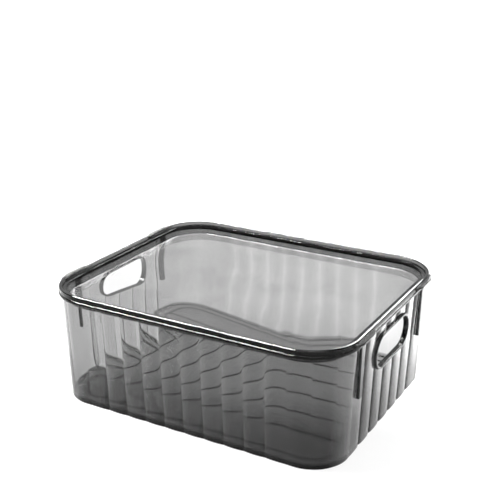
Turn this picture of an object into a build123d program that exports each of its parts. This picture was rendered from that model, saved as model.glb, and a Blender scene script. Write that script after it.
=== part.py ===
"""A clear fluted fridge bin with finger slots in its ends and a drop-in lid. Millimetres, +Z up.

The origin is on the surface that the bin stands on, below the middle of the bin. +X runs along
the bin to one finger slot, and the long walls face -Y and +Y.
"""
import math
import os

from build123d import *

# Overall, with the lid on
rim_length = 310.0
rim_width = 255.5
rim_radius = 47.0
height = 117.0

# Tub: crest to crest over the flutes, at the floor and where the flutes meet the rim
base_length = 300.0
base_width = 240.0
base_radius = 36.0
shoulder_length = 304.2
shoulder_width = 246.8
shoulder_radius = 42.4
shoulder_height = 108.6
wall = 2.4
floor_thickness = 2.4
floor_bevel = 1.0
inner_floor_radius = 4.0

# Flutes: shallow convex lenses on the outside of a smooth inner wall
flute_depth = 0.85
long_flutes = 10
long_pitch = 21.34
end_flutes = 7
end_pitch = 23.8
corner_flutes = 3

# Tub rim, which carries the lid
lid_gap = 0.3
tub_rim_rounding = 1.1

# Finger slot in each end wall, with a raised frame around it
slot_length = 77.0
slot_height = 30.0
slot_centre = 81.6
frame_width = 2.6
frame_reach = 154.0
frame_rounding = 0.9

# Nesting ribs on the end walls, which stop a bin from jamming in another one
rib_offset = 74.0
rib_width = 6.6
rib_reach = 154.3
rib_foot = 58.0

# Shallow grooves under the floor
groove_width = 3.0
groove_depth = 1.0
groove_pitch = 34.0
grooves_each_side = 2
groove_ring_inset = 12.0

# Lid: an outer bead, a ledge inside it and a recessed panel
lid_inset = 0.8
lid_band = 4.7
bead_width = 3.8
ledge_drop = 3.1
recess_inset = 8.7
recess_floor_inset = 9.7
recess_depth = 12.6
lid_wall = 1.6
panel_thickness = 1.8
bead_rounding = 1.2
ledge_rounding = 0.8
recess_rounding = 2.4

# Lift tabs on the lid, two at each end
tab_reach = 3.7
tab_offset = 71.5
tab_edge = 20.0
tab_root = 43.0
tab_thickness = 2.2
tab_drop = 1.6
tab_root_depth = 6.0
tab_rounding = 5.0

lid_bottom = height - lid_band
tub_height = lid_bottom - lid_gap
ledge_height = height - ledge_drop
panel_top = height - recess_depth
panel_bottom = panel_top - panel_thickness

# How far a cutting shape runs past the face that it cuts, and how level an edge must be
overrun = 1.0
slot_overrun = 30.0
level_tolerance = 1e-3


def outline_point(length, width, radius, distance):
    """A point and its outward normal, at a distance along a rounded rectangle's outline.

    Distances start at the middle of the front wall and run anticlockwise, seen from above.
    """
    straight_x = length / 2 - radius
    straight_y = width / 2 - radius
    arc = math.pi / 2 * radius
    quarter = straight_x + arc + straight_y
    turn, along = divmod(distance, quarter)
    if turn % 2:
        along = quarter - along
    if along < straight_x:
        angle = 0.0
        x, y = along, width / 2
    elif along < straight_x + arc:
        angle = (along - straight_x) / radius
        x = straight_x + radius * math.sin(angle)
        y = straight_y + radius * math.cos(angle)
    else:
        angle = math.pi / 2
        x, y = length / 2, quarter - along
    side_x, side_y = [(1, -1), (1, 1), (-1, 1), (-1, -1)][int(turn) % 4]
    normal = (side_x * math.sin(angle), side_y * math.cos(angle))
    return (side_x * x, side_y * y), normal


def flute_stations(length, width, radius):
    """Where the cusps between flutes lie, as distances along the outline, once around."""
    quarter = length / 2 + width / 2 - 2 * radius + math.pi / 2 * radius
    long_end = long_flutes * long_pitch / 2
    end_start = quarter - end_flutes * end_pitch / 2
    corner_step = (end_start - long_end) / corner_flutes
    steps = [long_pitch] * long_flutes + [corner_step] * corner_flutes
    steps += [end_pitch] * end_flutes + [corner_step] * corner_flutes
    stations = [-long_end]
    for step in steps + steps:
        stations.append(stations[-1] + step)
    return stations


def fluted_section(length, width, radius, z, inset=0.0):
    """One level of the tub's outside: an arc for each flute, from cusp to cusp over its crest."""
    stations = flute_stations(length, width, radius)
    cusps = []
    crests = []
    for start, end in zip(stations, stations[1:]):
        (x, y), (nx, ny) = outline_point(length, width, radius, start)
        back = flute_depth + inset
        cusps.append(Vector(x - back * nx, y - back * ny, z))
        (x, y), (nx, ny) = outline_point(length, width, radius, (start + end) / 2)
        crests.append(Vector(x - inset * nx, y - inset * ny, z))
    arcs = []
    for i, crest in enumerate(crests):
        arcs.append(Edge.make_three_point_arc(cusps[i], crest, cusps[(i + 1) % len(cusps)]))
    return Wire(arcs)


def rounded_plate(length, width, radius, bottom, top):
    """A flat plate with rounded corners, between two heights."""
    return Pos(0, 0, bottom) * extrude(RectangleRounded(length, width, radius), top - bottom)


def inset_plate(inset, bottom, top):
    """A plate whose edge is set in from the rim's outline by the same distance all round."""
    return rounded_plate(
        rim_length - 2 * inset, rim_width - 2 * inset, rim_radius - inset, bottom, top
    )


def inset_plug(top_inset, top, bottom_inset, bottom):
    """A plug that tapers from one inset outline to another, and may stand above its top."""
    sections = []
    for inset, z in ((bottom_inset, bottom), (top_inset, top)):
        outline = RectangleRounded(
            rim_length - 2 * inset, rim_width - 2 * inset, rim_radius - inset
        )
        sections.append(Pos(0, 0, z) * outline)
    return loft(sections, ruled=True)


def edges_at(shape, z):
    """The edges that lie wholly at one height."""
    found = []
    for edge in shape.edges():
        box = edge.bounding_box()
        if abs(box.min.Z - z) < level_tolerance and abs(box.max.Z - z) < level_tolerance:
            found.append(edge)
    return found


def fluted_shell():
    """The outside of the tub up to its shoulder, filled."""
    floor = fluted_section(base_length, base_width, base_radius, 0.0, floor_bevel)
    heel = fluted_section(base_length, base_width, base_radius, floor_bevel)
    shoulder = fluted_section(shoulder_length, shoulder_width, shoulder_radius, shoulder_height)
    return Solid.make_loft([floor, heel, shoulder], ruled=True)


def tub_rim():
    """The rim around the tub's mouth, filled, with its outer edges rounded."""
    rim = inset_plate(0, shoulder_height, tub_height)
    rim = fillet(edges_at(rim, shoulder_height), tub_rim_rounding)
    return fillet(edges_at(rim, tub_height), tub_rim_rounding)


def cavity():
    """The space inside the tub, with a smooth wall and a rounded foot."""
    rise = (tub_height - floor_thickness) / (shoulder_height - floor_thickness)
    top_length = base_length + rise * (shoulder_length - base_length) - 2 * wall
    top_width = base_width + rise * (shoulder_width - base_width) - 2 * wall
    foot = RectangleRounded(base_length - 2 * wall, base_width - 2 * wall, base_radius - wall)
    mouth = RectangleRounded(top_length, top_width, shoulder_radius - wall)
    space = loft([Pos(0, 0, floor_thickness) * foot, Pos(0, 0, tub_height) * mouth], ruled=True)
    space = fillet(edges_at(space, floor_thickness), inner_floor_radius)
    return space


def slot_plate(length, width, start, end):
    """A slot-shaped plate across the end wall, between two distances from the middle."""
    plane = Plane(origin=(start, 0, slot_centre), x_dir=(0, 1, 0), z_dir=(1, 0, 0))
    return extrude(plane * SlotOverall(length, width), end - start)


def slot_opening():
    """What the finger slot takes out of the end wall and its frame."""
    start = base_length / 2 - slot_overrun
    return slot_plate(slot_length, slot_height, start, frame_reach + overrun)


def slot_frame():
    """The raised frame around the finger slot at the +X end."""
    frame = slot_plate(
        slot_length + 2 * frame_width, slot_height + 2 * frame_width, base_length / 2, frame_reach
    )
    frame -= slot_opening()
    face = frame.faces().sort_by(Axis.X)[-1]
    return fillet(face.edges(), frame_rounding)


def nesting_rib(side):
    """One upright rib on the +X end wall, from half height up to the rim."""
    depth = rib_reach - base_length / 2 + flute_depth
    rise = shoulder_height - rib_foot + overrun
    rib = Box(depth, rib_width, rise, align=(Align.MAX, Align.CENTER, Align.MIN))
    return Pos(rib_reach, side * rib_offset, rib_foot) * rib


def floor_grooves():
    """The grooves under the floor: a ring and the straight ones that cross it lengthways."""
    ring_length = base_length - 2 * groove_ring_inset
    ring_width = base_width - 2 * groove_ring_inset
    ring_radius = base_radius - groove_ring_inset
    ring = rounded_plate(ring_length, ring_width, ring_radius, -overrun, groove_depth)
    ring -= rounded_plate(
        ring_length - 2 * groove_width, ring_width - 2 * groove_width,
        ring_radius - groove_width, -overrun, groove_depth
    )
    grooves = [ring]
    on_end = (Align.CENTER, Align.CENTER, Align.MIN)
    bar = Box(ring_length - groove_width, groove_width, overrun + groove_depth, align=on_end)
    for row in range(-grooves_each_side, grooves_each_side + 1):
        grooves.append(Pos(0, row * groove_pitch, -overrun) * bar)
    return grooves


def both_ends(piece):
    """A piece at the +X end and its twin at the other end."""
    return [piece, mirror(piece, Plane.YZ)]


def bin_body():
    """The tub: fluted wall, rim, framed finger slots, nesting ribs and grooved floor."""
    tub = Part(fluted_shell().wrapped) + tub_rim()
    for piece in both_ends(slot_frame()):
        tub += piece
    for side in (-1, 1):
        for piece in both_ends(nesting_rib(side)):
            tub += piece
    tub -= cavity()
    for piece in both_ends(slot_opening()):
        tub -= piece
    for groove in floor_grooves():
        tub -= groove
    return tub


def lift_tab(side):
    """One tab at the +X end: a flat tongue with slanted, rounded ends."""
    root = rim_length / 2 - tab_root_depth
    tip = rim_length / 2 + tab_reach
    middle = side * tab_offset
    corners = [
        (root, middle - tab_root / 2),
        (rim_length / 2, middle - tab_root / 2),
        (tip, middle - tab_edge / 2),
        (tip, middle + tab_edge / 2),
        (rim_length / 2, middle + tab_root / 2),
        (root, middle + tab_root / 2),
    ]
    face = make_face(Polyline(corners, close=True))
    face = fillet(face.vertices().sort_by(Axis.X)[-2:], tab_rounding)
    return Pos(0, 0, height - tab_drop - tab_thickness) * extrude(face, tab_thickness)


def bead_inner_edges(band):
    """The top edges on the inner side of the lid's bead, clear of the tabs."""
    found = []
    for edge in edges_at(band, height):
        middle = edge.center()
        inside_x = abs(middle.X) < rim_length / 2 - bead_width + level_tolerance
        inside_y = abs(middle.Y) < rim_width / 2 - bead_width + level_tolerance
        if inside_x and inside_y:
            found.append(edge)
    return found


def lid():
    """The lid: bead, ledge, recessed panel and lift tabs."""
    band = inset_plate(lid_inset, lid_bottom, height)
    band = fillet(edges_at(band, height), bead_rounding)
    for side in (-1, 1):
        for tab in both_ends(lift_tab(side)):
            band += tab
    band -= inset_plate(bead_width, ledge_height, height)
    band = fillet(bead_inner_edges(band), ledge_rounding)
    plug_top = recess_inset - lid_wall
    plug_foot = recess_floor_inset - lid_wall
    cup = inset_plug(plug_top, lid_bottom, plug_foot, panel_bottom)
    cup = fillet(edges_at(cup, panel_bottom), recess_rounding)
    hollow = inset_plug(recess_inset, ledge_height, recess_floor_inset, panel_top)
    hollow = fillet(edges_at(hollow, panel_top), ledge_rounding)
    cover = band + cup
    cover -= hollow
    return cover


os.makedirs("parts", exist_ok=True)
export_step(bin_body(), "parts/bin_body.step")
export_step(lid(), "parts/lid.step")
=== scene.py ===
"""A clear smoke-grey fridge bin with its lid on, on a pale studio floor."""
import math

import bmesh
import bpy
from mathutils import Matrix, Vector


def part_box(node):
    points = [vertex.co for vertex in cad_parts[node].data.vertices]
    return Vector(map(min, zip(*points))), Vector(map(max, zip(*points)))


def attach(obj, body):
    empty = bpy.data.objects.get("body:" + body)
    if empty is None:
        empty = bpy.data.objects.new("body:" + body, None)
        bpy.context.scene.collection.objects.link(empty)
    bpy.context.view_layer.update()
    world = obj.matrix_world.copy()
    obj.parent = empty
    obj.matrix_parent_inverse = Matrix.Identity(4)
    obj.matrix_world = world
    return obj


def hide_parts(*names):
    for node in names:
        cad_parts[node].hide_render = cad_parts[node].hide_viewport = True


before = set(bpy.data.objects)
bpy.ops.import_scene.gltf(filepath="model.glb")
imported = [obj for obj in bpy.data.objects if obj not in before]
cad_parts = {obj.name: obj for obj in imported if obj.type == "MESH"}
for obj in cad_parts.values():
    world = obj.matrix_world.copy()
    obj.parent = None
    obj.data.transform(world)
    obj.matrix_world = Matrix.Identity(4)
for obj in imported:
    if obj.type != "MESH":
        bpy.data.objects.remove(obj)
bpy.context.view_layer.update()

MM = 0.001

# Camera, as azimuth and elevation about the bin's upright axis
CAMERA_AZIMUTH = math.radians(29.48)
CAMERA_ELEVATION = math.radians(25.89)
CAMERA_DISTANCE = 906.9 * MM
CAMERA_AIM_HEIGHT = 38.4 * MM
CAMERA_LENS = 64.45
CAMERA_SENSOR = 36.0
CAMERA_CLIP = (0.05, 100.0)
CAMERA_SHIFT = (0.0056, 0.1945)

# Overall, with the lid on, in millimetres like every size below
tub_low, tub_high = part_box("bin_body")
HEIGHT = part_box("lid")[1][2] / MM
RIM_LENGTH = (tub_high[0] - tub_low[0]) / MM
RIM_WIDTH = (tub_high[1] - tub_low[1]) / MM
RIM_RADIUS = 47.0

# Tub: length, width and corner radius over the flutes' crests, at the floor and at the shoulder,
# and the wall's thickness at a crest
BASE = (300.0, 240.0, 36.0)
SHOULDER = (304.2, 246.8, 42.4)
SHOULDER_HEIGHT = 108.6
WALL = 2.4
FLOOR = 2.4
HEEL_RADIUS = 1.2
INNER_FLOOR_RADIUS = 4.0

# Flutes on the outside of a smooth inner wall, each as how far it bulges and how deep its cusps cut
LONG_FLUTE = (0.80, 0.10)
CORNER_FLUTE = (0.15, 0.05)
RIGHT_END_FLUTE = (0.70, 1.00)
LEFT_END_FLUTE = (0.45, 0.20)
CUSP_POWER = 8
LONG_FLUTES = 10
LONG_PITCH = 21.34
END_FLUTES = 7
END_PITCH = 23.8
CORNER_FLUTES = 3
FLUTE_STEPS = (0.0, 0.012, 0.03, 0.055, 0.09, 0.135, 0.19, 0.25, 0.32, 0.41)
WALL_LEVELS = 10

# Rim of the tub
TUB_TOP = tub_high[2] / MM
TUB_RIM_ROUNDING = 1.1

# Finger slot and its frame
SLOT_LENGTH = 77.0
SLOT_HEIGHT = 30.0
SLOT_CENTRE = 81.6
FRAME_WIDTH = 2.6
FRAME_REACH = 154.0
FRAME_ROUNDING = 0.9
FRAME_INSIDE = 0.25
SLOT_CUTTER_REACH = 15.0

# Nesting ribs
RIB_OFFSET = 74.0
RIB_WIDTH = 6.6
RIB_REACH = 154.3
RIB_FOOT = 58.0
RIB_BEVEL = 0.5
RIB_OVERLAP = 1.2

# Grooves under the floor
GROOVE_WIDTH = 3.0
GROOVE_DEPTH = 1.0
GROOVE_PITCH = 34.0
GROOVES_EACH_SIDE = 2
GROOVE_RING_INSET = 12.0
GROOVE_CUTTER_FOOT = -1.0

# Lid
LID_BOTTOM = HEIGHT - 4.7
LID_INSET = 0.8
BEAD_WIDTH = 3.8
LEDGE = HEIGHT - 3.1
RECESS_INSET = 8.7
RECESS_FLOOR_INSET = 9.7
PANEL_TOP = HEIGHT - 12.6
PANEL_BOTTOM = PANEL_TOP - 1.8
LID_WALL = 1.6
BEAD_ROUNDING = 1.3
BEAD_CROWN = 2.9
LEDGE_ROUNDING = 0.8
RECESS_ROUNDING = 2.4
TAB_REACH = 3.7
TAB_OFFSET = 71.5
TAB_EDGE = 20.0
TAB_ROOT = 43.0
TAB_TOP = HEIGHT - 1.6
TAB_THICKNESS = 2.2
TAB_ROOT_DEPTH = 6.0
TAB_CORNER = 0.45
TAB_CORNER_SHARES = (0.0, 0.1, 0.25, 0.45, 0.7, 1.0)
TAB_LOWER_BEVEL = 0.3
TAB_UPPER_BEVEL = 0.4

# Meshes: edges that turn more than this stay crisp, and points closer than this are one
SHARP = math.radians(38)
MERGE_DISTANCE = 0.0005

# Smoke-grey plastic: absorption per metre
IOR = 1.55
TUB_DENSITY = 295.0
LID_DENSITY = 280.0

# Painted shade in the plastic's colour, from black at 0 to clear at 1, and the stretches in millimetres
# over which it sets in
# Painted shadow on the tub's floor, standing in for the shade under the bin: darker towards the front and
# the right
FLOOR_PAINTED_SHADE = (0.13, 0.58)
FLOOR_PAINTED_SHADE_ACROSS = (-145.0, 0.0)
FLOOR_PAINTED_SHADE_SKEW = 0.4
FLOOR_PAINTED_SHADE_TOP = (FLOOR + 1.0, FLOOR + 4.0)
# Painted shade: near black in the grooves under the floor
GROOVE_PAINTED_SHADE = 0.04
GROOVE_PAINTED_SHADE_FOOT = (0.02, 0.06)
GROOVE_PAINTED_SHADE_TOP = (GROOVE_DEPTH + 0.1, GROOVE_DEPTH + 0.3)
# Painted shade: dark on the ribs and frames that stand proud of the end walls
RAISED_PAINTED_SHADE = 0.15
RAISED_FROM = (0.2, 0.6)
# Painted shade: dark round the tub's rim and the lid's raised band, clear again on the lid's tabs
BAND_PAINTED_SHADE = 0.3
RIM_PAINTED_SHADE_RISE = (SHOULDER_HEIGHT, SHOULDER_HEIGHT + 0.8)
RECESS_PAINTED_SHADE_RISE = (PANEL_TOP + 0.02, PANEL_TOP + 0.3)
TAB_CLEAR_FROM = (RIM_LENGTH / 2 - 0.4, RIM_LENGTH / 2)
# Painted shade: dark over the finger slots' frames and the tunnels they line
FRAME_PAINTED_SHADE = 0.15
FRAME_PAINTED_SHADE_EDGE = (0.1, 0.4)
FRAME_PAINTED_SHADE_FROM = (142.0, 144.0)

# Painted reflection strength: how far reflections are cut back by place, and the stretches over which
# that changes
WALL_PAINTED_GLINT = 0.2
BAND_PAINTED_GLINT = 0.1
FULL_GLINT = 1.0
END_GLINT_RISE = (140.0, BASE[0] / 2)
SHOULDER_GLINT_RISE = (SHOULDER_HEIGHT - 1, SHOULDER_HEIGHT)
RIM_GLINT_FALL = (SHOULDER_HEIGHT + 0.3, SHOULDER_HEIGHT + 1)
TOP_GLINT_RISE = (TUB_TOP - 1.0, TUB_TOP - 0.6)
BEAD_GLINT_RISE = (HEIGHT - 1.6, HEIGHT - 1.2)
PANEL_GLINT_FALL = (PANEL_TOP + 0.05, PANEL_TOP + 0.4)

# Noise in the plastic as (waves per metre, detail, stretch), the span of it that counts, and what
# that span becomes
STREAKS = (22.0, 2.0, (1, 1, 0.15))
STREAK_SPAN = (0.3, 0.7)
STREAK_TINT = (0.93, 1.0)
HAZE = (60.0, 3.0, (1, 1, 1))
HAZE_SPAN = (0.35, 0.75)
HAZE_ROUGHNESS = (0.012, 0.045)
WAVES = (18.0, 1.0, (1, 1, 0.3))
WAVE_DEPTH = 0.05


# ---------------------------------------------------------------- camera, light and floor

def view_back():
    """The direction from the bin to the camera."""
    return Vector((
        math.sin(CAMERA_AZIMUTH) * math.cos(CAMERA_ELEVATION),
        -math.cos(CAMERA_AZIMUTH) * math.cos(CAMERA_ELEVATION),
        math.sin(CAMERA_ELEVATION),
    ))


def make_camera():
    data = bpy.data.cameras.new("camera")
    data.lens = CAMERA_LENS
    data.sensor_width = CAMERA_SENSOR
    data.shift_x, data.shift_y = CAMERA_SHIFT
    data.clip_start, data.clip_end = CAMERA_CLIP
    camera = bpy.data.objects.new("camera", data)
    back = view_back()
    camera.location = back * CAMERA_DISTANCE + Vector((0, 0, CAMERA_AIM_HEIGHT))
    camera.rotation_mode = "QUATERNION"
    camera.rotation_quaternion = (-back).to_track_quat("-Z", "Y")
    bpy.context.collection.objects.link(camera)
    bpy.context.scene.camera = camera


# Studio light by direction: the sine of the height above the horizon, and the cosine from straight ahead
SOFTBOX_EDGE = (0.94, 0.97)
SOFTBOX_LIGHT = 3.0
SWEEP_SIDES = (0.35, 0.75)
SWEEP_RISE = (0.30, 0.56)
SWEEP_LOW = 0.5
SWEEP_TOP = (0.60, 0.70)
SWEEP_LIGHT = 1.2
HORIZON_EDGE = (0.13, 0.24)
HORIZON_LIGHT = 0.9
DARK = 0.015

# The floor, in metres. It glows: in front of the bin, and what it adds beyond the bin, on a strip at
# the right and outside that strip.
FLOOR_SIZE = 20.0
FLOOR_DROP = 0.0002
FLOOR_GREY = 0.1
FLOOR_ROUGHNESS = 0.9
NEAR_GLOW = 0.9
FAR_GLOW = 0.75
STRIP_GLOW = 2.6
OUTER_GLOW = 0.2
FAR_GLOW_RISE = (-0.11, 0.10)
STRIP_RISE = (0.10, 0.20)
STRIP_FALL = (0.23, 0.26)

# Lamps as (place, aim, size, power): one over the floor behind, one high on the left
LAMPS = {
    "rear_lamp": ((0.15, 0.75, 0.70), (0.12, 0.35, 0.0), (0.5, 0.5), 14.0),
    "key_lamp": ((-0.62, -0.20, 1.25), (0.0, 0.0, 0.0), (0.6, 0.9), 110.0),
}


def ramp(tree, value, low, high, start, end):
    """A smooth step: start where the value is under low, end where it is over high."""
    step = tree.nodes.new("ShaderNodeMapRange")
    step.interpolation_type = "SMOOTHSTEP"
    step.inputs["From Min"].default_value = low
    step.inputs["From Max"].default_value = high
    step.inputs["To Min"].default_value = start
    step.inputs["To Max"].default_value = end
    tree.links.new(value, step.inputs["Value"])
    return step.outputs["Result"]


def ramp_mm(tree, value, stretch, start, end):
    """A smooth step over a stretch in millimetres, for a value in metres."""
    low, high = stretch
    return ramp(tree, value, low * MM, high * MM, start, end)


def reckon(tree, operation, a, b=0.0):
    """A math node on one or two values, each a socket or a number."""
    node = tree.nodes.new("ShaderNodeMath")
    node.operation = operation
    for socket, value in zip(node.inputs, (a, b)):
        if isinstance(value, (int, float)):
            socket.default_value = value
        else:
            tree.links.new(value, socket)
    return node.outputs[0]


def straight_ahead(tree, vector):
    """How far a vector goes over the floor towards the back of the studio, opposite the camera."""
    ahead = tree.nodes.new("ShaderNodeVectorMath")
    ahead.operation = "DOT_PRODUCT"
    ahead.inputs[1].default_value = (-math.sin(CAMERA_AZIMUTH), math.cos(CAMERA_AZIMUTH), 0)
    tree.links.new(vector, ahead.inputs[0])
    return ahead.outputs["Value"]


def make_world():
    """A softbox overhead, a pale sweep behind the bin, a pale horizon and darkness between them."""
    world = bpy.data.worlds.new("world")
    bpy.context.scene.world = world
    world.use_nodes = True
    tree = world.node_tree
    direction = tree.nodes.new("ShaderNodeTexCoord").outputs["Generated"]
    split = tree.nodes.new("ShaderNodeSeparateXYZ")
    tree.links.new(direction, split.inputs[0])
    up = split.outputs["Z"]
    sides = ramp(tree, straight_ahead(tree, direction), *SWEEP_SIDES, 0.0, SWEEP_LIGHT)
    foot = ramp(tree, up, *SWEEP_RISE, SWEEP_LOW, 1.0)
    rise = reckon(tree, "MULTIPLY", foot, ramp(tree, up, *SWEEP_TOP, 1.0, 0.0))
    sweep = reckon(tree, "MULTIPLY", sides, rise)
    softbox = ramp(tree, up, *SOFTBOX_EDGE, DARK, SOFTBOX_LIGHT)
    horizon = ramp(tree, up, *HORIZON_EDGE, HORIZON_LIGHT, 0.0)
    light = reckon(tree, "MAXIMUM", reckon(tree, "MAXIMUM", sweep, softbox), horizon)
    background = tree.nodes["Background"]
    background.inputs["Color"].default_value = (1, 1, 1, 1)
    tree.links.new(light, background.inputs["Strength"])


def make_lamps():
    """Soft lamps that streak the rims and light the floor that shows through the walls."""
    for name, (place, aim, size, power) in LAMPS.items():
        data = bpy.data.lights.new(name, "AREA")
        data.shape = "RECTANGLE"
        data.size, data.size_y = size
        data.energy = power
        lamp = bpy.data.objects.new(name, data)
        lamp.location = place
        lamp.rotation_mode = "QUATERNION"
        lamp.rotation_quaternion = (Vector(aim) - Vector(place)).to_track_quat("-Z", "Y")
        lamp.visible_camera = False
        bpy.context.collection.objects.link(lamp)


def make_floor():
    """A pale light table, brighter beyond the bin than in front of it."""
    signs = [(-1, -1), (1, -1), (1, 1), (-1, 1)]
    corners = [(x * FLOOR_SIZE, y * FLOOR_SIZE, -FLOOR_DROP) for x, y in signs]
    mesh = bpy.data.meshes.new("floor")
    mesh.from_pydata(corners, [], [(0, 1, 2, 3)])
    floor = bpy.data.objects.new("floor", mesh)
    bpy.context.collection.objects.link(floor)
    material = bpy.data.materials.new("floor")
    material.use_nodes = True
    tree = material.node_tree
    shader = tree.nodes["Principled BSDF"]
    shader.inputs["Base Color"].default_value = (FLOOR_GREY, FLOOR_GREY, FLOOR_GREY, 1)
    shader.inputs["Roughness"].default_value = FLOOR_ROUGHNESS
    shader.inputs["Specular IOR Level"].default_value = 0.0
    shader.inputs["Emission Color"].default_value = (1, 1, 1, 1)
    place, axes = object_place(tree)
    ahead = ramp(tree, straight_ahead(tree, place), *FAR_GLOW_RISE, 0.0, 1.0)
    strip = ramp(tree, axes["X"], *STRIP_RISE, FAR_GLOW, STRIP_GLOW)
    outer = ramp(tree, axes["X"], *STRIP_FALL, STRIP_GLOW, OUTER_GLOW)
    far = reckon(tree, "MULTIPLY", ahead, reckon(tree, "MINIMUM", strip, outer))
    glow = reckon(tree, "ADD", far, NEAR_GLOW)
    tree.links.new(glow, shader.inputs["Emission Strength"])
    mesh.materials.append(material)


# ---------------------------------------------------------------- outlines

def outline_point(length, width, radius, distance):
    """A point and its outward normal, at a distance along a rounded rectangle's outline.

    Distances start at the middle of the front wall and run anticlockwise, seen from above.
    """
    straight_x = length / 2 - radius
    straight_y = width / 2 - radius
    arc = math.pi / 2 * radius
    quarter = straight_x + arc + straight_y
    turn, along = divmod(distance, quarter)
    if turn % 2:
        along = quarter - along
    if along < straight_x:
        angle = 0.0
        x, y = along, width / 2
    elif along < straight_x + arc:
        angle = (along - straight_x) / radius
        x = straight_x + radius * math.sin(angle)
        y = straight_y + radius * math.cos(angle)
    else:
        angle = math.pi / 2
        x, y = length / 2, quarter - along
    side_x, side_y = [(1, -1), (1, 1), (-1, 1), (-1, -1)][int(turn) % 4]
    return side_x * x, side_y * y, side_x * math.sin(angle), side_y * math.cos(angle)


def flute_stations(length, width, radius):
    """Where the cusps between flutes lie, as distances along the outline, once around."""
    quarter = length / 2 + width / 2 - 2 * radius + math.pi / 2 * radius
    long_end = LONG_FLUTES * LONG_PITCH / 2
    end_start = quarter - END_FLUTES * END_PITCH / 2
    corner_step = (end_start - long_end) / CORNER_FLUTES
    steps = [LONG_PITCH] * LONG_FLUTES + [corner_step] * CORNER_FLUTES
    steps += [END_PITCH] * END_FLUTES + [corner_step] * CORNER_FLUTES
    stations = [-long_end]
    for step in steps + steps:
        stations.append(stations[-1] + step)
    return stations


def flute_shapes():
    """The bulge and the cusp depth of each flute, once around."""
    shapes = []
    for end_flute in (RIGHT_END_FLUTE, LEFT_END_FLUTE):
        shapes += [LONG_FLUTE] * LONG_FLUTES + [CORNER_FLUTE] * CORNER_FLUTES
        shapes += [end_flute] * END_FLUTES + [CORNER_FLUTE] * CORNER_FLUTES
    return shapes


def station_shapes():
    """The bulge and the cusp depth at each station: the smaller of the flutes that meet there."""
    flutes = flute_shapes()
    meeting = zip(flutes[-1:] + flutes, flutes + flutes[:1])
    return [tuple(map(min, before, after)) for before, after in meeting]


def flute_steps():
    """Shares across one flute, closer together at its cusps."""
    rising = list(FLUTE_STEPS)
    return rising + [0.5] + [1 - step for step in reversed(rising[1:])]


def fall(step, start, end):
    """How far a flute falls back from its crest: gently across, then sharply at its cusps.

    Start and end are the shapes at its two stations.
    """
    across = abs(2 * step - 1)
    bulge, cusp = (a + step * (b - a) for a, b in zip(start, end))
    return bulge * across ** 2 + cusp * across ** CUSP_POWER


def ring(outline, z, inset=0.0, fluted=False):
    """One closed level round a rounded rectangle, set in evenly and scalloped by the flutes."""
    stations = flute_stations(*outline)
    shapes = station_shapes()
    points = []
    for i, (start, end) in enumerate(zip(stations, stations[1:])):
        for step in flute_steps():
            x, y, nx, ny = outline_point(*outline, start + step * (end - start))
            back = inset + (fall(step, shapes[i], shapes[i + 1]) if fluted else 0)
            points.append((x - back * nx, y - back * ny, z))
    return points


def shrunk(outline, inset):
    length, width, radius = outline
    return length - 2 * inset, width - 2 * inset, radius - inset


def blend_outline(z):
    """The tub's crest outline at a height: it widens steadily from the base to the shoulder."""
    share = z / SHOULDER_HEIGHT
    return tuple(low + share * (high - low) for low, high in zip(BASE, SHOULDER))


def quarter_turn(inset, z, radius, start, width=None, steps=6):
    """Profile points (inset, z) round a quarter circle, anticlockwise from a start angle.

    A width makes it a quarter of an ellipse that wide.
    """
    points = []
    for i in range(steps + 1):
        angle = math.radians(start + 90 * i / steps)
        points.append((inset + (width or radius) * math.cos(angle), z + radius * math.sin(angle)))
    return points


# ---------------------------------------------------------------- meshes

def mesh_object(name, points, faces):
    mesh = bpy.data.meshes.new(name)
    mesh.from_pydata([(x * MM, y * MM, z * MM) for x, y, z in points], [], faces)
    mesh.validate()
    thing = bpy.data.objects.new(name, mesh)
    bpy.context.collection.objects.link(thing)
    return thing


def skin(name, rings, closed=False):
    """A solid through a stack of rings: capped at both ends, or closed on itself as a torus."""
    count = len(rings[0])
    points = [point for one in rings for point in one]
    faces = []
    levels = len(rings)
    for level in range(levels if closed else levels - 1):
        low = level * count
        high = (level + 1) % levels * count
        for i in range(count):
            j = (i + 1) % count
            faces.append((low + i, low + j, high + j, high + i))
    if not closed:
        faces.append(tuple(reversed(range(count))))
        faces.append(tuple(range((levels - 1) * count, levels * count)))
    thing = mesh_object(name, points, faces)
    face_outwards(thing)
    return thing


def face_outwards(thing):
    work = bmesh.new()
    work.from_mesh(thing.data)
    bmesh.ops.remove_doubles(work, verts=work.verts, dist=MERGE_DISTANCE * MM)
    bmesh.ops.recalc_face_normals(work, faces=work.faces)
    work.to_mesh(thing.data)
    work.free()


def combine(target, tool, operation):
    """Applies a boolean to the target and removes the tool."""
    modifier = target.modifiers.new(operation, "BOOLEAN")
    modifier.operation = operation
    modifier.solver = "EXACT"
    modifier.object = tool
    graph = bpy.context.evaluated_depsgraph_get()
    result = bpy.data.meshes.new_from_object(target.evaluated_get(graph))
    target.modifiers.clear()
    old = target.data
    target.data = result
    bpy.data.meshes.remove(old)
    bpy.data.objects.remove(tool)


def smooth_shading(thing):
    thing.data.polygons.foreach_set("use_smooth", [True] * len(thing.data.polygons))
    thing.data.set_sharp_from_angle(angle=SHARP)


def stadium(length, height, inset, x, steps=16):
    """A slot outline in the plane across the bin, centred on the finger slot."""
    radius = height / 2 - inset
    straight = (length - height) / 2
    points = []
    for side in (1, -1):
        for i in range(steps + 1):
            angle = math.pi * (i / steps - 0.5)
            y = side * (straight + radius * math.cos(angle))
            points.append((x, y, SLOT_CENTRE + side * radius * math.sin(angle)))
    return points


def mirrored(points, end):
    return [(end * x, y, z) for x, y, z in points]


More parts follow.
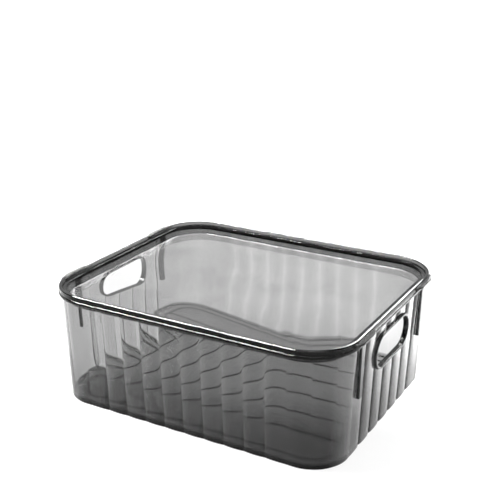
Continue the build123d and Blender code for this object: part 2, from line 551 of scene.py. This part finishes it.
def slot_cutter(end):
    """What the finger slot takes out of the end wall: as far as the middle of its frame."""
    rings = []
    for x in (BASE[0] / 2 - SLOT_CUTTER_REACH, BASE[0] / 2 + SLOT_CUTTER_REACH):
        slot = stadium(SLOT_LENGTH + FRAME_WIDTH, SLOT_HEIGHT + FRAME_WIDTH, 0, x)
        rings.append(mirrored(slot, end))
    return skin("slot_cutter", rings)


def slot_frame(end):
    """The frame round the finger slot: a slot-shaped ring with rounded outer edges."""
    inner_wall = blend_outline(SLOT_CENTRE)[0] / 2 - WALL - FRAME_INSIDE
    r = FRAME_ROUNDING
    profile = [(0, inner_wall)]
    profile += [(r - u, FRAME_REACH - r + v) for u, v in quarter_turn(0, 0, r, 0)]
    profile += [(FRAME_WIDTH - r - u, FRAME_REACH - r + v) for u, v in quarter_turn(0, 0, r, 90)]
    profile += [(FRAME_WIDTH, inner_wall)]
    length = SLOT_LENGTH + 2 * FRAME_WIDTH
    height = SLOT_HEIGHT + 2 * FRAME_WIDTH
    rings = [mirrored(stadium(length, height, inset, x), end) for inset, x in profile]
    return skin("slot_frame", rings, closed=True)


def box_points(low, high):
    (x0, y0, z0), (x1, y1, z1) = low, high
    lower = [(x0, y0, z0), (x1, y0, z0), (x1, y1, z0), (x0, y1, z0)]
    return [lower, [(x, y, z1) for x, y, z in lower]]


def nesting_rib(end, side):
    """An upright rib that ends square at half height and runs up into the rim."""
    root = BASE[0] / 2 - RIB_OVERLAP
    reach, half, bevel = RIB_REACH, RIB_WIDTH / 2, RIB_BEVEL
    outline = [
        (root, -half), (reach - bevel, -half), (reach, -half + bevel),
        (reach, half - bevel), (reach - bevel, half), (root, half),
    ]
    rings = []
    for z in (RIB_FOOT, SHOULDER_HEIGHT + RIB_OVERLAP):
        rings.append([(end * x, side * RIB_OFFSET + y, z) for x, y in outline])
    return skin("rib", rings)


def groove_cutters():
    """The grooves under the floor: a ring, and straight ones along the bin inside it."""
    outer = shrunk(BASE, GROOVE_RING_INSET)
    inner = shrunk(outer, GROOVE_WIDTH)
    corners = [(outer, GROOVE_CUTTER_FOOT), (outer, GROOVE_DEPTH)]
    corners += [(inner, GROOVE_DEPTH), (inner, GROOVE_CUTTER_FOOT)]
    loop = [ring(outline, z) for outline, z in corners]
    cutters = [skin("groove_ring", loop, closed=True)]
    reach = outer[0] / 2 - GROOVE_WIDTH / 2
    for row in range(-GROOVES_EACH_SIDE, GROOVES_EACH_SIDE + 1):
        y = row * GROOVE_PITCH
        low = (-reach, y - GROOVE_WIDTH / 2, GROOVE_CUTTER_FOOT)
        high = (reach, y + GROOVE_WIDTH / 2, GROOVE_DEPTH)
        cutters.append(skin("groove", box_points(low, high)))
    return cutters


def tub_rings():
    """The tub from the middle of its underside, up the outside, over the rim and down inside."""
    rim = (RIM_LENGTH, RIM_WIDTH, RIM_RADIUS)
    rings = []
    for inset, z in reversed(quarter_turn(HEEL_RADIUS, HEEL_RADIUS, HEEL_RADIUS, 180)):
        rings.append(ring(blend_outline(0), z, inset, True))
    for level in range(1, WALL_LEVELS + 1):
        z = HEEL_RADIUS + (SHOULDER_HEIGHT - HEEL_RADIUS) * level / WALL_LEVELS
        rings.append(ring(blend_outline(z), z, 0, True))
    r = TUB_RIM_ROUNDING
    for inset, z in reversed(quarter_turn(r, SHOULDER_HEIGHT + r, r, 180)):
        rings.append(ring(shrunk(rim, inset), z))
    for inset, z in reversed(quarter_turn(r, TUB_TOP - r, r, 90)):
        rings.append(ring(shrunk(rim, inset), z))
    for z in (TUB_TOP, SHOULDER_HEIGHT, SHOULDER_HEIGHT / 2, FLOOR + INNER_FLOOR_RADIUS):
        rings.append(ring(shrunk(blend_outline(z), WALL), z))
    foot = shrunk(blend_outline(FLOOR), WALL)
    r = INNER_FLOOR_RADIUS
    for inset, z in quarter_turn(r, FLOOR + r, r, 180)[1:]:
        rings.append(ring(shrunk(foot, inset), z))
    return rings


def make_tub():
    tub = skin("tub", tub_rings())
    for cutter in groove_cutters():
        combine(tub, cutter, "DIFFERENCE")
    for end in (-1, 1):
        combine(tub, slot_cutter(end), "DIFFERENCE")
        combine(tub, slot_frame(end), "UNION")
        for side in (-1, 1):
            combine(tub, nesting_rib(end, side), "UNION")
    smooth_shading(tub)
    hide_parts("bin_body")
    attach(tub, "bin")
    return tub


def lid_rings():
    """The lid from the middle of its underside, out, over the bead and down into the recess."""
    rim = (RIM_LENGTH, RIM_WIDTH, RIM_RADIUS)
    r = RECESS_ROUNDING
    profile = []
    foot = RECESS_FLOOR_INSET - LID_WALL
    profile += reversed(quarter_turn(foot + r, PANEL_BOTTOM + r, r, 180))
    profile += [(RECESS_INSET - LID_WALL, LID_BOTTOM), (LID_INSET, LID_BOTTOM)]
    r = BEAD_ROUNDING
    profile += reversed(quarter_turn(BEAD_CROWN, HEIGHT - r, r, 90, BEAD_CROWN - LID_INSET))
    r = LEDGE_ROUNDING
    profile += reversed(quarter_turn(BEAD_WIDTH - r, HEIGHT - r, r, 0))
    profile += [(BEAD_WIDTH, LEDGE)]
    profile += reversed(quarter_turn(RECESS_INSET - r, LEDGE - r, r, 0))
    profile += quarter_turn(RECESS_FLOOR_INSET + r, PANEL_TOP + r, r, 180)
    return [ring(shrunk(rim, inset), z) for inset, z in profile]


def lift_tab(end, side):
    """A flat tongue with slanted, rounded ends at a corner of the lid."""
    root = RIM_LENGTH / 2 - TAB_ROOT_DEPTH
    edge = RIM_LENGTH / 2
    tip = edge + TAB_REACH
    outline = [(root, -TAB_ROOT / 2), (edge, -TAB_ROOT / 2)]
    for share in TAB_CORNER_SHARES:
        inwards = (TAB_ROOT - TAB_EDGE) / 2 * (1 - TAB_CORNER + TAB_CORNER * share)
        outwards = TAB_REACH * (1 - TAB_CORNER + TAB_CORNER * math.sin(share * math.pi / 2))
        outline.append((edge + outwards, inwards - TAB_ROOT / 2))
    outline += [(x, -y) for x, y in reversed(outline)]
    bottom = TAB_TOP - TAB_THICKNESS
    levels = [(bottom, TAB_LOWER_BEVEL), (bottom + TAB_LOWER_BEVEL, 0)]
    levels += [(TAB_TOP - TAB_UPPER_BEVEL, 0), (TAB_TOP, TAB_UPPER_BEVEL)]
    rings = []
    for z, inset in levels:
        rings.append([(end * min(x, tip - inset), side * TAB_OFFSET + y, z) for x, y in outline])
    return skin("tab", rings)


def make_lid():
    lid = skin("lid_cover", lid_rings())
    for end in (-1, 1):
        for side in (-1, 1):
            combine(lid, lift_tab(end, side), "UNION")
    smooth_shading(lid)
    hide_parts("lid")
    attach(lid, "lid")
    return lid


# ---------------------------------------------------------------- material

def object_place(tree):
    """Where a point lies on the object, in metres, as X, Y and Z sockets."""
    coordinate = tree.nodes.new("ShaderNodeTexCoord")
    split = tree.nodes.new("ShaderNodeSeparateXYZ")
    tree.links.new(coordinate.outputs["Object"], split.inputs[0])
    return coordinate.outputs["Object"], split.outputs


def noise(tree, place, scale, detail, stretch):
    """A noise value from 0 to 1 over the object, with the pattern's size set in waves per metre."""
    mapping = tree.nodes.new("ShaderNodeMapping")
    mapping.inputs["Scale"].default_value = stretch
    tree.links.new(place, mapping.inputs["Vector"])
    pattern = tree.nodes.new("ShaderNodeTexNoise")
    pattern.inputs["Scale"].default_value = scale
    pattern.inputs["Detail"].default_value = detail
    tree.links.new(mapping.outputs["Vector"], pattern.inputs["Vector"])
    return pattern.outputs["Fac"]


def grey_level(tree, value, socket):
    """Feeds one value into all three channels of a colour socket."""
    colour = tree.nodes.new("ShaderNodeCombineColor")
    for channel in colour.inputs:
        tree.links.new(value, channel)
    tree.links.new(colour.outputs[0], socket)


def clear_plastic(name, density, shade, glint):
    """Smoke-grey clear plastic, with painted shade and random streaks in its colour and painted
    reflection strength, set by place on the object.
    """
    material = bpy.data.materials.new(name)
    material.use_nodes = True
    tree = material.node_tree
    shader = tree.nodes["Principled BSDF"]
    shader.inputs["IOR"].default_value = IOR
    shader.inputs["Transmission Weight"].default_value = 1.0
    absorb = tree.nodes.new("ShaderNodeVolumeAbsorption")
    absorb.inputs["Color"].default_value = (0.0, 0.0, 0.0, 1)
    absorb.inputs["Density"].default_value = density
    tree.links.new(absorb.outputs["Volume"], tree.nodes["Material Output"].inputs["Volume"])

    place, axes = object_place(tree)
    streaks = ramp(tree, noise(tree, place, *STREAKS), *STREAK_SPAN, *STREAK_TINT)
    painted_shade_and_streaks = reckon(tree, "MULTIPLY", shade(tree, axes), streaks)
    grey_level(tree, painted_shade_and_streaks, shader.inputs["Base Color"])
    grey_level(tree, glint(tree, axes), shader.inputs["Specular Tint"])

    haze = ramp(tree, noise(tree, place, *HAZE), *HAZE_SPAN, *HAZE_ROUGHNESS)
    tree.links.new(haze, shader.inputs["Roughness"])

    bump = tree.nodes.new("ShaderNodeBump")
    bump.inputs["Strength"].default_value = 1.0
    bump.inputs["Distance"].default_value = WAVE_DEPTH * MM
    tree.links.new(noise(tree, place, *WAVES), bump.inputs["Height"])
    tree.links.new(bump.outputs["Normal"], shader.inputs["Normal"])
    return material


def tub_painted_shade(tree, axes):
    """Painted shade: darker at the floor, near black in its grooves, and dark on ribs, frames and rim."""
    z = axes["Z"]
    floor = reckon(tree, "MAXIMUM", floor_painted_shade(tree, axes), ramp_mm(tree, z, FLOOR_PAINTED_SHADE_TOP, 0.0, 1.0))
    groove = ramp_mm(tree, z, GROOVE_PAINTED_SHADE_FOOT, 0.0, 1.0)
    lines = reckon(tree, "MULTIPLY", groove, ramp_mm(tree, z, GROOVE_PAINTED_SHADE_TOP, 1.0, 0.0))
    clear_of_lines = reckon(tree, "SUBTRACT", 1.0, reckon(tree, "MULTIPLY", lines, 1 - GROOVE_PAINTED_SHADE))
    underside = reckon(tree, "MULTIPLY", floor, clear_of_lines)
    shade = reckon(tree, "MULTIPLY", underside, raised_painted_shade(tree, axes))
    rim = ramp_mm(tree, z, RIM_PAINTED_SHADE_RISE, 1.0, BAND_PAINTED_SHADE)
    return reckon(tree, "MULTIPLY", shade, reckon(tree, "MINIMUM", rim, slot_painted_shade(tree, axes)))


def floor_painted_shade(tree, axes):
    """Painted shadow under the bin: darker towards the front of the floor, and more so on the right."""
    skew = reckon(tree, "MULTIPLY", reckon(tree, "MAXIMUM", axes["X"], 0.0), FLOOR_PAINTED_SHADE_SKEW)
    return ramp_mm(tree, reckon(tree, "SUBTRACT", axes["Y"], skew), FLOOR_PAINTED_SHADE_ACROSS, *FLOOR_PAINTED_SHADE)


def raised_painted_shade(tree, axes):
    """Painted shade: dark on what stands proud of the end walls, which lean out a little."""
    lean = (SHOULDER[0] - BASE[0]) / 2 / SHOULDER_HEIGHT
    crest = reckon(tree, "ADD", reckon(tree, "MULTIPLY", axes["Z"], lean), BASE[0] / 2 * MM)
    proud = reckon(tree, "SUBTRACT", reckon(tree, "ABSOLUTE", axes["X"]), crest)
    return ramp_mm(tree, proud, RAISED_FROM, 1.0, RAISED_PAINTED_SHADE)


def slot_painted_shade(tree, axes):
    """Painted shade: dark over the finger slots' frames and the edges that they line."""
    straight = (SLOT_LENGTH - SLOT_HEIGHT) / 2 * MM
    past_straight = reckon(tree, "SUBTRACT", reckon(tree, "ABSOLUTE", axes["Y"]), straight)
    along = reckon(tree, "MAXIMUM", past_straight, 0.0)
    rise = reckon(tree, "SUBTRACT", axes["Z"], SLOT_CENTRE * MM)
    squares = reckon(tree, "ADD", reckon(tree, "POWER", along, 2.0), reckon(tree, "MULTIPLY", rise, rise))
    away = reckon(tree, "SQRT", squares)
    reach = SLOT_HEIGHT / 2 + FRAME_WIDTH
    edge = [reach + margin for margin in FRAME_PAINTED_SHADE_EDGE]
    outside = ramp_mm(tree, away, edge, FRAME_PAINTED_SHADE, 1.0)
    between_ends = ramp_mm(tree, reckon(tree, "ABSOLUTE", axes["X"]), FRAME_PAINTED_SHADE_FROM, 1.0, 0.0)
    return reckon(tree, "MAXIMUM", outside, between_ends)


def tub_painted_glint(tree, axes):
    """Painted reflection strength: soft reflections on the long walls and full ones on the ends and the
    rim's edges.

    The rim's side between its edges has its reflections cut back, a painted dark band.
    """
    z = axes["Z"]
    end = ramp_mm(tree, reckon(tree, "ABSOLUTE", axes["X"]), END_GLINT_RISE, WALL_PAINTED_GLINT, FULL_GLINT)
    edge = reckon(tree, "MAXIMUM", end, ramp_mm(tree, z, SHOULDER_GLINT_RISE, 0.0, FULL_GLINT))
    side = ramp_mm(tree, z, RIM_GLINT_FALL, FULL_GLINT, BAND_PAINTED_GLINT)
    top = ramp_mm(tree, z, TOP_GLINT_RISE, 0.0, FULL_GLINT)
    return reckon(tree, "MAXIMUM", reckon(tree, "MINIMUM", edge, side), top)


def lid_painted_glint(tree, axes):
    """Painted reflection strength: full on the bead's top edges and on the panel, cut back on the band
    between them.
    """
    bead = ramp_mm(tree, axes["Z"], BEAD_GLINT_RISE, BAND_PAINTED_GLINT, FULL_GLINT)
    panel = ramp_mm(tree, axes["Z"], PANEL_GLINT_FALL, FULL_GLINT, 0.0)
    return reckon(tree, "MAXIMUM", bead, panel)


def lid_painted_shade(tree, axes):
    """Painted shade: clear over the panel and the tabs, darker round the raised band."""
    band = ramp_mm(tree, axes["Z"], RECESS_PAINTED_SHADE_RISE, 1.0, BAND_PAINTED_SHADE)
    tab = ramp_mm(tree, reckon(tree, "ABSOLUTE", axes["X"]), TAB_CLEAR_FROM, 0.0, 1.0)
    return reckon(tree, "MAXIMUM", band, tab)


make_camera()
make_floor()
make_world()
make_lamps()
bpy.context.scene.view_settings.view_transform = "Standard"

tub = make_tub()
lid = make_lid()
tub.data.materials.append(clear_plastic("smoke_tub", TUB_DENSITY, tub_painted_shade, tub_painted_glint))
lid.data.materials.append(clear_plastic("smoke_lid", LID_DENSITY, lid_painted_shade, lid_painted_glint))
